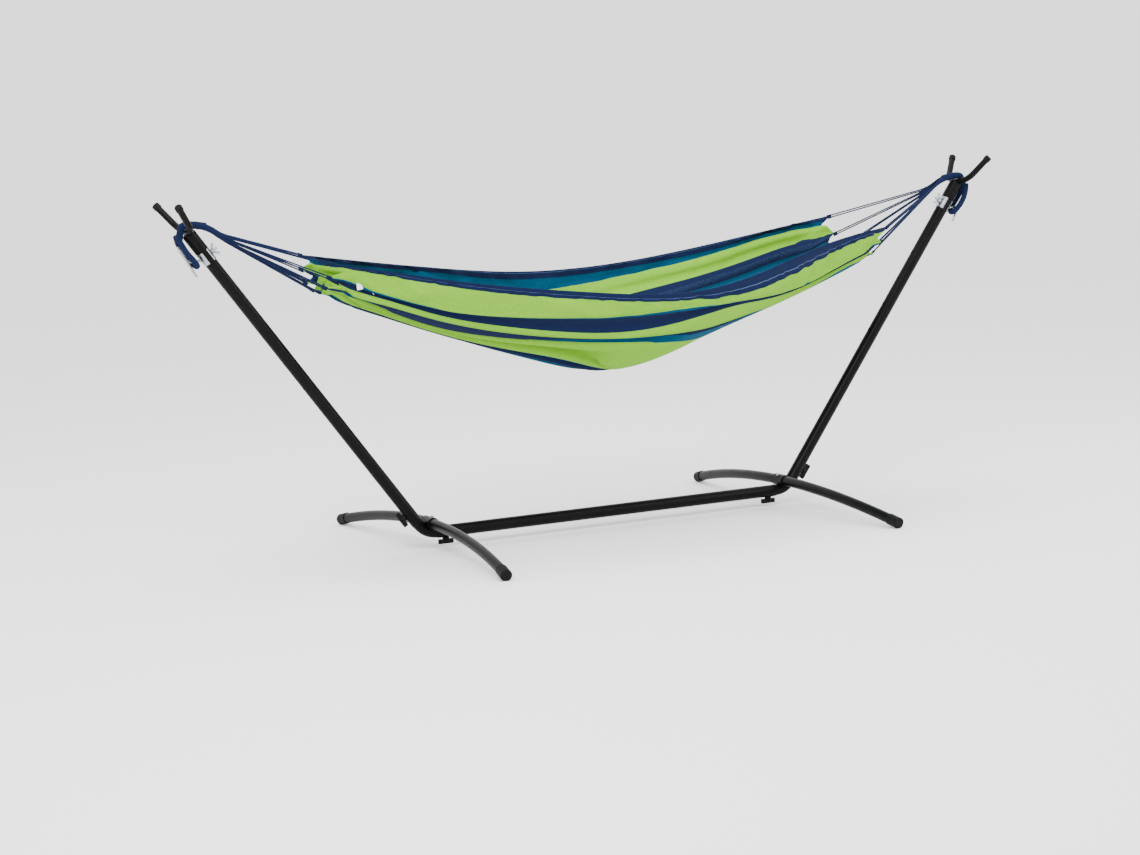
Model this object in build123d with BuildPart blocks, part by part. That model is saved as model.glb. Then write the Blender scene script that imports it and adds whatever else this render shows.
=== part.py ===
"""Double hammock hung on a tubular steel stand. Millimetres, +Z up.

The origin is on the floor under the middle of the stand. X runs along the hammock, from its left
end to its right end, and Y across it, from the near side to the far side. Each end of the stand
is drawn in its own slanted frame: s along the upright, measured from the crotch of its fork, n
outwards at right angles to the upright, and y straight across.
"""

import math
import os

from build123d import *

os.makedirs("parts", exist_ok=True)

# Stand
BEAM_Z = 51.2  # height of the floor beam's axis
CORNER_X = 644.8  # where the beam's axis and an upright's axis would cross
LEAN = math.radians(53.9)  # slope of the uprights
UPRIGHT_LENGTH = 1203.9  # from that corner to the crotch of the fork
TUBE_R = 19.0  # beam and uprights, 38 mm tube
TUBE_WALL = 1.5
ELBOW_R = 17.3  # the bent piece that slides into both
ELBOW_WALL = 2.0
ELBOW_BEND = 76.0
ELBOW_GRIP = 115.0  # how far it reaches into each tube
TUBE_GAP = 41.0  # from the corner to the end of each outer tube
NUT_SEAT = 13.5  # from a tube's axis to the flat of a weld nut
HOLE_R = 4.5
HOLE_PITCH = 100.0
HOLE_COUNT = 6

# Feet
FOOT_R = 16.0
FOOT_WALL = 1.5
FOOT_HALF_SPAN = 621.0
FOOT_END_X = 669.5
FOOT_END_Z = 16.6
RING_X = 628.8
RING_Z = 82.6
RING_R = 19.0
RING_BORE = 16.6
RING_LENGTH = 62.0
CAP_R = 18.0
CAP_LENGTH = 46.0
CAP_FRONT = 4.0  # how far a cap stands past the end of its tube

# Fork
SLEEVE_R = 21.2
SLEEVE_BORE = 19.2
SLEEVE_TOP = -14.0
SLEEVE_FOOT = -78.0
PLUG_BOTTOM = -34.0
ARM_R = 10.0
ARM_BOTTOM_S = -13.0  # corner of the bent bar under the rope, before its arc
ARM_BOTTOM_BEND = 60.0
ARM_ELBOW_S = 4.0
ARM_ELBOW_Y = 58.0
ARM_ELBOW_BEND = 55.0
ARM_TIP_Y = 102.8
ARM_TIP_S = 87.4
FORK_CAP_GRIP = 14.0

# Hook hardware
HOOK_S = -100.0  # the first adjustment hole
ROD_R = 4.0
SADDLE_R = 21.4
SADDLE_BORE = 19.05
SADDLE_LENGTH = 40.0

# Rope
ROPE_R = 9.0  # one strand of the wrapped eye
NECK_R = 11.0
NECK_BEND = 21.5  # round the fork's bar
SWING_X = 1326.0  # where the hanging part starts to swing, on both sides
SWING_Z = 1036.0
BUNDLE_LENGTH = 111.0
BUNDLE_DROP = 52.0
BUNDLE_HALF_Y = 31.0
BUNDLE_HALF_Z = 20.0
CORD_R = 2.3
TIP_COUNT = 8  # loops along each end of the cloth, with two cords each
PAIR_GAP = 7.5  # between the two cords of a loop
CORD_PITCH = 5.1  # spacing of the cords where they leave the bundle

# Fabric
CLOTH = 8.0
# Stations along the cloth: x, half width, near rim z, far rim z, bottom z, skew of the end edge
CLOTH_STATIONS = [
    (-952.5, 90, 902, 922, 810, -0.139),
    (-600, 275, 832, 859, 676, 0),
    (-260, 385, 785, 811, 562, 0),
    (0, 430, 762, 790, 510, 0),
    (260, 400, 780, 798, 575, 0),
    (600, 310, 856, 848, 672, 0),
    (947.5, 205, 898, 918, 788, 0.085),
]

RISE_X = math.cos(LEAN)
RISE_Z = math.sin(LEAN)
CROTCH_X = CORNER_X + UPRIGHT_LENGTH * RISE_X
CROTCH_Z = BEAM_Z + UPRIGHT_LENGTH * RISE_Z
SIDES = {"left": -1, "right": 1}


def at(side, s, n, y):
    """A point of one end's slanted frame."""
    x = CROTCH_X + s * RISE_X + n * RISE_Z
    z = CROTCH_Z + s * RISE_Z - n * RISE_X
    return Vector(side * x, y, z)


def up(side):
    """The upright's direction."""
    return Vector(side * RISE_X, 0, RISE_Z)


def out(side):
    """Outwards, at right angles to the upright."""
    return Vector(side * RISE_Z, 0, -RISE_X)


def across_upright(side, s):
    """The plane of the upright's cross section at s, with x outwards."""
    return Plane(origin=at(side, s, 0, 0), x_dir=out(side), z_dir=up(side))


def facing_out(side, s, n):
    """The plane square to the screws through the upright, with x up the upright."""
    return Plane(origin=at(side, s, n, 0), x_dir=up(side), z_dir=out(side))


def save(piece, name):
    piece.part.label = name
    export_step(piece.part, f"parts/{name}.step")


def bent_tube(points, radii, outer, inner=0.0):
    """Adds a tube, or a rod if it has no bore, along straight runs joined by arcs."""
    with BuildLine() as route:
        FilletPolyline(*points, radius=radii)
    with BuildSketch(Plane(origin=route.line @ 0, z_dir=route.line % 0)) as section:
        Circle(outer)
        if inner:
            Circle(inner, mode=Mode.SUBTRACT)
    sweep(section.sketch, path=route.line)


def straight_rod(start, end, radius, mode=Mode.ADD):
    """Adds or cuts a straight rod between two points."""
    run = Vector(end) - Vector(start)
    with BuildSketch(Plane(origin=start, z_dir=run)) as section:
        Circle(radius)
    extrude(section.sketch, amount=run.length, dir=run, mode=mode)


# ---------------------------------------------------------------- floor beam
BEAM_END = CORNER_X - TUBE_GAP
BEAM_KNOB_X = CORNER_X - 68.0

with BuildPart() as base_beam:
    with BuildSketch(Plane.YZ.offset(-BEAM_END)):
        with Locations((0, BEAM_Z)):
            Circle(TUBE_R)
            Circle(TUBE_R - TUBE_WALL, mode=Mode.SUBTRACT)
    extrude(amount=2 * BEAM_END)
    for side in SIDES.values():
        wall = (side * BEAM_KNOB_X, 0, BEAM_Z - TUBE_R - 2)
        straight_rod(wall, (side * BEAM_KNOB_X, 0, BEAM_Z - 12), ROD_R + 0.2, Mode.SUBTRACT)
save(base_beam, "base_beam")


# ---------------------------------------------------------------- elbows
UPRIGHT_KNOB_S = 85.0 - UPRIGHT_LENGTH


def make_elbow(side, name):
    """The bent tube that joins the beam to an upright, with the saddle cut for the foot's ring."""
    reach = TUBE_GAP + ELBOW_GRIP
    with BuildPart() as elbow:
        points = [
            (side * (CORNER_X - reach), 0, BEAM_Z),
            (side * CORNER_X, 0, BEAM_Z),
            at(side, reach - UPRIGHT_LENGTH, 0, 0),
        ]
        bent_tube(points, ELBOW_BEND, ELBOW_R, ELBOW_R - ELBOW_WALL)
        ring = (side * RING_X, -RING_LENGTH / 2, RING_Z)
        straight_rod(ring, (side * RING_X, RING_LENGTH / 2, RING_Z), RING_R, Mode.SUBTRACT)
        knob = (side * BEAM_KNOB_X, 0, BEAM_Z - TUBE_R)
        straight_rod(knob, (side * BEAM_KNOB_X, 0, BEAM_Z - 8), ROD_R + 0.2, Mode.SUBTRACT)
        outer = at(side, UPRIGHT_KNOB_S, TUBE_R, 0)
        straight_rod(outer, at(side, UPRIGHT_KNOB_S, 8, 0), ROD_R + 0.2, Mode.SUBTRACT)
    save(elbow, name)


for word, side in SIDES.items():
    make_elbow(side, f"{word}_elbow")


# ---------------------------------------------------------------- feet
FOOT_DROP = Vector(FOOT_END_X - RING_X, 0, FOOT_END_Z - RING_Z)


def foot_centre(side):
    return Vector(side * RING_X, 0, RING_Z)


def foot_end(side, hand):
    """The middle of a foot tube's end, hand -1 on the near side and 1 on the far side."""
    return Vector(side * FOOT_END_X, hand * FOOT_HALF_SPAN, FOOT_END_Z)


def foot_tangent(side, hand):
    """The direction of the foot's arc at one end, pointing outwards."""
    drop = FOOT_DROP.length
    turn = 2 * math.atan(drop / FOOT_HALF_SPAN)
    down = Vector(side * FOOT_DROP.X, 0, FOOT_DROP.Z).normalized()
    return Vector(0, hand * math.cos(turn), 0) + down * math.sin(turn)


def make_foot(side, word):
    """A bowed foot tube, its welded ring, the bolt that holds it and its two end caps."""
    with BuildPart() as foot:
        with BuildLine() as bow:
            ThreePointArc(foot_end(side, -1), foot_centre(side), foot_end(side, 1))
        with BuildSketch(Plane(origin=bow.line @ 0, z_dir=bow.line % 0)):
            Circle(FOOT_R)
            Circle(FOOT_R - FOOT_WALL, mode=Mode.SUBTRACT)
        sweep(path=bow.line)
        middle = foot_centre(side)
        lift = Vector(-side * FOOT_DROP.X, 0, -FOOT_DROP.Z).normalized()
        straight_rod(middle, middle + lift * (FOOT_R + 1), 3.2, Mode.SUBTRACT)
    save(foot, f"{word}_foot")

    with BuildPart() as ring:
        with BuildSketch(Plane.XZ.offset(-RING_LENGTH / 2)):
            with Locations((side * RING_X, RING_Z)):
                Circle(RING_R)
                Circle(RING_BORE, mode=Mode.SUBTRACT)
        extrude(amount=RING_LENGTH)
        straight_rod(middle, middle + lift * (RING_R + 1), 3.2, Mode.SUBTRACT)
    save(ring, f"{word}_foot_ring")

    head = middle + lift * (RING_R + 0.05)
    with BuildPart() as bolt:
        straight_rod(middle + lift * (FOOT_R - 6), head, 3.0)
        with BuildSketch(Plane(origin=head, z_dir=lift)):
            RegularPolygon(radius=5.8, side_count=6)
        extrude(amount=4.2)
    save(bolt, f"{word}_foot_bolt")

    for hand_word, hand in {"near": -1, "far": 1}.items():
        tangent = foot_tangent(side, hand)
        tip = foot_end(side, hand)
        with BuildPart() as cap:
            with BuildSketch(Plane(origin=tip - tangent * (CAP_LENGTH - CAP_FRONT), z_dir=tangent)):
                Circle(CAP_R)
            extrude(amount=CAP_LENGTH)
            fillet(cap.faces().sort_by(Axis(tip, tangent))[-1].edges(), radius=3)
            with BuildSketch(Plane(origin=tip - tangent * CAP_LENGTH, z_dir=tangent)):
                Circle(FOOT_R + 0.15)
            extrude(amount=CAP_LENGTH + 0.1, mode=Mode.SUBTRACT)
            with BuildSketch(Plane.XY):
                with Locations((tip.X, tip.Y)):
                    Rectangle(4 * CAP_LENGTH, 4 * CAP_LENGTH)
            extrude(amount=-CAP_R, mode=Mode.SUBTRACT)
        save(cap, f"{word}_foot_cap_{hand_word}")


for word, side in SIDES.items():
    make_foot(side, word)


# ---------------------------------------------------------------- uprights
def make_upright(side, name):
    """The slanted outer tube with its row of holes for the hook."""
    low = TUBE_GAP - UPRIGHT_LENGTH
    with BuildPart() as upright:
        with BuildSketch(across_upright(side, low)):
            Circle(TUBE_R)
            Circle(TUBE_R - TUBE_WALL, mode=Mode.SUBTRACT)
        extrude(amount=PLUG_BOTTOM - 1 - low)
        for index in range(HOLE_COUNT):
            s = HOOK_S - index * HOLE_PITCH
            straight_rod(at(side, s, -TUBE_R - 1, 0), at(side, s, TUBE_R + 1, 0), HOLE_R, Mode.SUBTRACT)
        knob = at(side, UPRIGHT_KNOB_S, TUBE_R + 1, 0)
        straight_rod(knob, at(side, UPRIGHT_KNOB_S, ELBOW_R - 1, 0), ROD_R + 0.2, Mode.SUBTRACT)
    save(upright, name)


# ---------------------------------------------------------------- fork
def make_fork(side, word):
    """The sleeve over the top of an upright and the two swept arms that hold the rope."""
    with BuildPart() as fork:
        with BuildSketch(across_upright(side, SLEEVE_FOOT)):
            Circle(SLEEVE_R)
            Circle(SLEEVE_BORE, mode=Mode.SUBTRACT)
        extrude(amount=PLUG_BOTTOM - SLEEVE_FOOT)
        with BuildSketch(across_upright(side, PLUG_BOTTOM)):
            Circle(SLEEVE_R)
        extrude(amount=SLEEVE_TOP - PLUG_BOTTOM)
        fillet(fork.faces().sort_by(Axis(at(side, 0, 0, 0), up(side)))[-1].edges(), radius=5)
        bar = [
            at(side, ARM_TIP_S, 0, -ARM_TIP_Y),
            at(side, ARM_ELBOW_S, 0, -ARM_ELBOW_Y),
            at(side, ARM_BOTTOM_S, 0, 0),
            at(side, ARM_ELBOW_S, 0, ARM_ELBOW_Y),
            at(side, ARM_TIP_S, 0, ARM_TIP_Y),
        ]
        bent_tube(bar, [ARM_ELBOW_BEND, ARM_BOTTOM_BEND, ARM_ELBOW_BEND], ARM_R)
    save(fork, f"{word}_fork")

    for hand_word, hand in {"near": -1, "far": 1}.items():
        tip = at(side, ARM_TIP_S, 0, hand * ARM_TIP_Y)
        run = (tip - at(side, ARM_ELBOW_S, 0, hand * ARM_ELBOW_Y)).normalized()
        with BuildPart() as cap:
            with BuildSketch(Plane(origin=tip - run * FORK_CAP_GRIP, z_dir=run)):
                Circle(ARM_R + 1.6)
            extrude(amount=FORK_CAP_GRIP + 3)
            fillet(cap.faces().sort_by(Axis(tip, run))[-1].edges(), radius=4)
            with BuildSketch(Plane(origin=tip, z_dir=run)):
                Circle(ARM_R)
            extrude(amount=-2 * FORK_CAP_GRIP, mode=Mode.SUBTRACT)
        save(cap, f"{word}_fork_cap_{hand_word}")


# ---------------------------------------------------------------- hook
def make_saddle(side, inward, name):
    """A curved plate that hugs the upright round the hook's rod."""
    with BuildPart() as saddle:
        with BuildSketch(across_upright(side, HOOK_S - SADDLE_LENGTH / 2)):
            Circle(SADDLE_R)
            Circle(SADDLE_BORE, mode=Mode.SUBTRACT)
            with Locations((inward * SADDLE_R * -1.4, 0)):
                Rectangle(2 * SADDLE_R, 3 * SADDLE_R, mode=Mode.INTERSECT)
        extrude(amount=SADDLE_LENGTH)
        start = at(side, HOOK_S, -inward * TUBE_R / 2, 0)
        straight_rod(start, at(side, HOOK_S, -inward * (SADDLE_R + 3), 0), ROD_R + 0.05, Mode.SUBTRACT)
    save(saddle, name)


def make_hook(side, name):
    """A bent rod through the upright, with a long bar across its outer end to hold the rope's eye."""
    with BuildPart() as hook:
        shank = [
            at(side, HOOK_S, -42, 0),
            at(side, HOOK_S, 22, 0),
            at(side, HOOK_S + 24, 54.5, 0),
        ]
        bent_tube(shank, 14, ROD_R)
        straight_rod(at(side, -22, 49, 0), at(side, -128, 60, 0), ROD_R)
        rims = hook.edges().filter_by(GeomType.CIRCLE)
        fillet(rims.filter_by(lambda edge: edge.length > 6 * ROD_R), radius=1.2)
    save(hook, name)


WING_NUT_N = -SADDLE_R - 0.3


def make_wing_nut(side, name):
    """A hub with two raised wings, threaded on the inner end of the hook's rod."""
    inward = Plane(origin=at(side, HOOK_S, WING_NUT_N, 0), x_dir=up(side), z_dir=out(side) * -1)
    with BuildPart() as nut:
        with BuildSketch(inward):
            Circle(8)
        with BuildSketch(inward.offset(10)):
            Circle(6.2)
        loft()
        wing_plane = Plane(origin=inward.origin, x_dir=inward.x_dir, z_dir=-inward.y_dir)
        with BuildSketch(wing_plane.offset(-1.5)) as wings:
            with BuildLine():
                Polyline((-5, 1.2), (-9, 3), (-19, 12), (-20, 18), (-15, 19), (-6, 9), (-5, 1.2))
            make_face()
            mirror(about=Plane.YZ)
        extrude(amount=3)
        thread_start = at(side, HOOK_S, WING_NUT_N + 1, 0)
        straight_rod(thread_start, at(side, HOOK_S, -50, 0), ROD_R + 0.05, Mode.SUBTRACT)
    save(nut, name)


# ---------------------------------------------------------------- clamp knobs
def make_knob(origin, axis, wing_dir, name):
    """A moulded knob with two wings and a threaded stud, screwed in along -axis."""
    base = Plane(origin=origin, x_dir=wing_dir, z_dir=axis)
    with BuildPart() as knob:
        with BuildSketch(base.offset(0.3)):
            Circle(11)
        with BuildSketch(base.offset(14)):
            Circle(9)
        loft()
        with BuildSketch(base.offset(6)):
            SlotOverall(52, 12)
        extrude(amount=14)
        fillet(knob.faces().sort_by(Axis(origin, axis))[-1].edges(), radius=2.5)
        with BuildSketch(base.offset(-14)):
            Circle(ROD_R)
        extrude(amount=16)
    save(knob, name)


def make_weld_nut(origin, axis, name):
    """The round nut welded inside the elbow, which the knob's stud turns in."""
    start = Vector(origin) - Vector(axis) * (TUBE_R - NUT_SEAT)
    with BuildPart() as nut:
        with BuildSketch(Plane(origin=start, z_dir=Vector(axis) * -1)):
            Circle(7)
            Circle(ROD_R + 0.05, mode=Mode.SUBTRACT)
        extrude(amount=7)
    save(nut, name)


# ---------------------------------------------------------------- rope
def make_rope_neck(side, name):
    """The thick bound part of the rope that lies over the fork's bar."""
    over_bar = at(side, 20.9, 1.2, 0)
    swing = Vector(side * SWING_X, 0, SWING_Z)
    start = swing + (swing - over_bar).normalized() * NECK_R
    with BuildPart() as neck:
        bent_tube([start, over_bar, at(side, -22, 44, 0)], NECK_BEND, NECK_R)
        with BuildSketch(Plane.YZ.offset(side * SWING_X)):
            with Locations((0, SWING_Z)):
                Circle(3 * NECK_R)
        extrude(amount=-side * 3 * NECK_R, mode=Mode.SUBTRACT)
    save(neck, name)


def make_rope_eye(side, name):
    """The loop at the end of the rope, down the outer side of the upright and round the hook."""
    with BuildPart() as eye:
        loop = [
            at(side, 2, 32, -6),
            at(side, -32, 45, -19),
            at(side, -104, 40.5, -20),
            at(side, -104, 40.5, 20),
            at(side, -32, 45, 19),
            at(side, 2, 32, 6),
        ]
        bent_tube(loop, [30, 19, 19, 30], ROPE_R)
    save(eye, name)


def bundle_end(side):
    return Vector(side * (SWING_X - BUNDLE_LENGTH), 0, SWING_Z - BUNDLE_DROP)


def make_bundle(side, name):
    """The cords where they are gathered and bound beside the fork."""
    with BuildPart() as bundle:
        with BuildSketch(Plane.YZ.offset(side * (SWING_X - 0.4))):
            with Locations((0, SWING_Z)):
                Circle(NECK_R)
        with BuildSketch(Plane.YZ.offset(side * (SWING_X - BUNDLE_LENGTH))):
            with Locations((0, bundle_end(side).Z)):
                Ellipse(BUNDLE_HALF_Y, BUNDLE_HALF_Z)
        loft()
    save(bundle, name)


# ---------------------------------------------------------------- hammock
def cloth_arc(station):
    """The curve of the cloth across one station: near rim, bottom, far rim."""
    x, half_width, near_z, far_z, bottom_z, skew = station
    near = (x - skew * half_width, -half_width, near_z)
    far = (x + skew * half_width, half_width, far_z)
    return ThreePointArc(near, (x, 0, bottom_z), far)


def cord_ends(side):
    """The points where the cords meet the end of the cloth, and where they leave the bundle."""
    arc = cloth_arc(CLOTH_STATIONS[0] if side < 0 else CLOTH_STATIONS[-1])
    last = 2 * TIP_COUNT - 1
    tip_step = (arc.length - PAIR_GAP) / (TIP_COUNT - 1)
    shrink = CORD_PITCH * last / arc.length
    middle_z = ((arc @ 0.5).Z + max((arc @ 0).Z, (arc @ 1).Z)) / 2
    cloth = []
    bound = []
    for index in range(last + 1):
        tip, second = divmod(index, 2)
        cloth.append(arc @ ((tip * tip_step + second * PAIR_GAP) / arc.length))
        even = arc @ (index / last)
        rise = (even.Z - middle_z) * shrink
        bound.append(bundle_end(side) + Vector(side, even.Y * shrink, rise))
    return cloth, bound


def make_cords(side, name):
    """The taut cords from the bundle to the loops along the end of the cloth."""
    cloth, bound = cord_ends(side)
    with BuildPart() as cords:
        for start, end in zip(bound, cloth):
            straight_rod(start, end, CORD_R)
    save(cords, name)


with BuildPart() as hammock_fabric:
    for station in CLOTH_STATIONS:
        x, half_width, near_z, far_z, bottom_z, skew = station
        half_width *= math.hypot(1, skew)
        rim = CLOTH / 2
        with BuildSketch(Plane(origin=(x, 0, 0), x_dir=(skew, 1, 0), z_dir=(1, -skew, 0))):
            with BuildLine():
                outer_start = (-half_width - rim, near_z)
                outer_end = (half_width + rim, far_z)
                inner_start = (-half_width + rim, near_z)
                inner_end = (half_width - rim, far_z)
                ThreePointArc(outer_start, (0, bottom_z - rim), outer_end)
                Line(outer_end, inner_end)
                ThreePointArc(inner_end, (0, bottom_z + rim), inner_start)
                Line(inner_start, outer_start)
            make_face()
    loft()
save(hammock_fabric, "hammock_fabric")


for word, side in SIDES.items():
    make_upright(side, f"{word}_upright")
    make_fork(side, word)
    make_saddle(side, -1, f"{word}_outer_saddle")
    make_saddle(side, 1, f"{word}_inner_saddle")
    make_hook(side, f"{word}_hook")
    make_wing_nut(side, f"{word}_wing_nut")
    upright_knob = at(side, UPRIGHT_KNOB_S, TUBE_R, 0)
    make_knob(upright_knob, out(side), up(side), f"{word}_upright_knob")
    make_weld_nut(upright_knob, out(side), f"{word}_upright_nut")
    beam_knob = Vector(side * BEAM_KNOB_X, 0, BEAM_Z - TUBE_R)
    make_knob(beam_knob, Vector(0, 0, -1), Vector(1, 0, 0), f"{word}_beam_knob")
    make_weld_nut(beam_knob, Vector(0, 0, -1), f"{word}_beam_nut")
    make_rope_neck(side, f"{word}_rope_neck")
    make_rope_eye(side, f"{word}_rope_eye")
    make_bundle(side, f"{word}_cord_bundle")
    make_cords(side, f"{word}_cords")
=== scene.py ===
"""The looks of the double hammock on its tubular steel stand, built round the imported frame.

Metres, +Z up. The origin is on the floor under the middle of the stand, X runs along the hammock from
its left end to its right end, and Y runs across it from the near side to the far side. Each end of
the stand also has a slanted frame of its own: s along the upright, measured from the crotch of its
fork, n outwards at right angles to the upright, and y straight across.
"""

import math

import bpy
import numpy as np
from mathutils import Matrix, Vector


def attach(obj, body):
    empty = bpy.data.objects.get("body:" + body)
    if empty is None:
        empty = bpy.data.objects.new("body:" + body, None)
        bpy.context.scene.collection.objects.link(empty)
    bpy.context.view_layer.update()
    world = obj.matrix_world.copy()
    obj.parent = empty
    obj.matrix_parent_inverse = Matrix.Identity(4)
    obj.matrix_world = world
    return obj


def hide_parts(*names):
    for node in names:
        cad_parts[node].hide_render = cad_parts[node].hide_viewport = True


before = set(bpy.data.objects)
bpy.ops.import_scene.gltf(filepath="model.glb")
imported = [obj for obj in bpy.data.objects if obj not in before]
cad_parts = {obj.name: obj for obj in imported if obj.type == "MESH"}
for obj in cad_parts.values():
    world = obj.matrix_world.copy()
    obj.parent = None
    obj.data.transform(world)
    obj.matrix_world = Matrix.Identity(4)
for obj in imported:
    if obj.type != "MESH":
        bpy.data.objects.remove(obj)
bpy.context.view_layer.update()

SIDES = {"left": -1, "right": 1}

# ---------------------------------------------------------------- places, as in the CAD part
BEAM_Z = 0.0512  # height of the floor beam's axis
CORNER_X = 0.6448  # where the beam's axis and an upright's axis would cross
LEAN = math.radians(53.9)  # slope of the uprights
UPRIGHT_LENGTH = 1.2039  # from that corner to the crotch of the fork
RISE_X = math.cos(LEAN)
RISE_Z = math.sin(LEAN)
CROTCH_X = CORNER_X + UPRIGHT_LENGTH * RISE_X
CROTCH_Z = BEAM_Z + UPRIGHT_LENGTH * RISE_Z
SWING_X = 1.326  # where the hanging part starts to swing, on both sides
SWING_Z = 1.036
BUNDLE_LENGTH = 0.111
BUNDLE_DROP = 0.052
TIP_COUNT = 8  # loops along each end of the cloth, with two cords each
PAIR_GAP = 0.0075  # between the two cords of a loop
CORD_PITCH = 0.0051  # spacing of the cords where they leave the bundle
CORD_DIAMETER = 0.0046
CORD_STRANDS = 3
CORD_LAY = 0.013  # length of cord in which a strand winds once round it
# Stations along the cloth: x, half width, near rim z, far rim z, bottom z, skew of the end edge
CLOTH_STATIONS = [
    (-0.9525, 0.090, 0.902, 0.922, 0.810, -0.139),
    (-0.600, 0.275, 0.832, 0.859, 0.676, 0),
    (-0.260, 0.385, 0.785, 0.811, 0.562, 0),
    (0.000, 0.430, 0.762, 0.790, 0.510, 0),
    (0.260, 0.400, 0.780, 0.798, 0.575, 0),
    (0.600, 0.310, 0.856, 0.848, 0.672, 0),
    (0.9475, 0.205, 0.898, 0.918, 0.788, 0.085),
]


def at(side, s, n, y):
    """A point of one end's slanted frame."""
    x = CROTCH_X + s * RISE_X + n * RISE_Z
    z = CROTCH_Z + s * RISE_Z - n * RISE_X
    return Vector((side * x, y, z))


# ---------------------------------------------------------------- camera, floor and lights
CAMERA_PLACE = Vector((-3.86226, -7.42092, 1.42957))
CAMERA_YAW = math.radians(26.67)
CAMERA_PITCH = math.radians(7.55)  # downwards
CAMERA_ROLL = math.radians(-2.34)
CAMERA_LENS_MM = 84.5
SENSOR_WIDTH_MM = 36
FARTHEST_SEEN = 60


def make_camera():
    """The photo's camera."""
    cos_pitch = math.cos(CAMERA_PITCH)
    ahead = Vector(
        (math.sin(CAMERA_YAW) * cos_pitch, math.cos(CAMERA_YAW) * cos_pitch, -math.sin(CAMERA_PITCH))
    )
    level = Vector((math.cos(CAMERA_YAW), -math.sin(CAMERA_YAW), 0))
    above = level.cross(ahead)
    right = level * math.cos(CAMERA_ROLL) + above * math.sin(CAMERA_ROLL)
    up = above * math.cos(CAMERA_ROLL) - level * math.sin(CAMERA_ROLL)
    camera = bpy.data.objects.new("camera", bpy.data.cameras.new("camera"))
    bpy.context.scene.collection.objects.link(camera)
    camera.data.lens = CAMERA_LENS_MM
    camera.data.sensor_width = SENSOR_WIDTH_MM
    camera.data.clip_end = FARTHEST_SEEN
    turned = Matrix((right, up, -ahead)).transposed().to_4x4()
    camera.matrix_world = Matrix.Translation(CAMERA_PLACE) @ turned
    bpy.context.scene.camera = camera


# The lights: name, place, the point each one shines at, its two sizes and its power
LIGHTS = [
    ("key", (-2.6, -3.4, 3.6), (0, 0, 0.6), (2.4, 2.4), 240),
    ("fill", (3.6, -3.0, 2.2), (0.2, 0, 0.6), (2.0, 2.6), 80),
    ("top", (0.3, 0.6, 4.2), (0, 0, 0.4), (3.2, 2.2), 110),
]
SKY_STRENGTH = 2.2


def add_light(name, place, target, size, power):
    """A rectangular lamp that shines at its target."""
    data = bpy.data.lights.new(name, "AREA")
    data.shape = "RECTANGLE"
    data.size, data.size_y = size
    data.energy = power
    light = bpy.data.objects.new(name, data)
    bpy.context.scene.collection.objects.link(light)
    light.location = place
    light.rotation_euler = (Vector(target) - Vector(place)).to_track_quat("-Z", "Y").to_euler()


FLOOR_RADIUS = 12.0
FLOOR_RINGS = 4
FLOOR_SIDES = 96
COVE_RADIUS = 5.0
COVE_RINGS = 16


def make_floor():
    """A pale floor that sweeps up into a pale wall all round, so no horizon shows."""
    profile = [(FLOOR_RADIUS * ring / FLOOR_RINGS, 0.0) for ring in range(1, FLOOR_RINGS + 1)]
    for ring in range(1, COVE_RINGS + 1):
        turn = math.pi / 2 * ring / COVE_RINGS
        profile.append((FLOOR_RADIUS + COVE_RADIUS * math.sin(turn), COVE_RADIUS * (1 - math.cos(turn))))
    points = [(0, 0, 0)]
    faces = []
    for reach, height in profile:
        for side in range(FLOOR_SIDES):
            turn = 2 * math.pi * side / FLOOR_SIDES
            points.append((reach * math.cos(turn), reach * math.sin(turn), height))
    for side in range(FLOOR_SIDES):
        after = (side + 1) % FLOOR_SIDES
        faces.append((0, 1 + side, 1 + after))
        for row in range(len(profile) - 1):
            low = 1 + row * FLOOR_SIDES
            high = low + FLOOR_SIDES
            faces.append((low + side, high + side, high + after, low + after))
    floor = mesh_object("floor", points, faces)
    floor.data.materials.append(MATERIALS["floor"])
    return floor


def make_studio():
    """An even white sky, three lamps and the floor."""
    world = bpy.data.worlds.new("studio")
    world.use_nodes = True
    sky = world.node_tree.nodes["Background"]
    sky.inputs["Color"].default_value = (1, 1, 1, 1)
    sky.inputs["Strength"].default_value = SKY_STRENGTH
    bpy.context.scene.world = world
    for light in LIGHTS:
        add_light(*light)
    make_floor()


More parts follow.
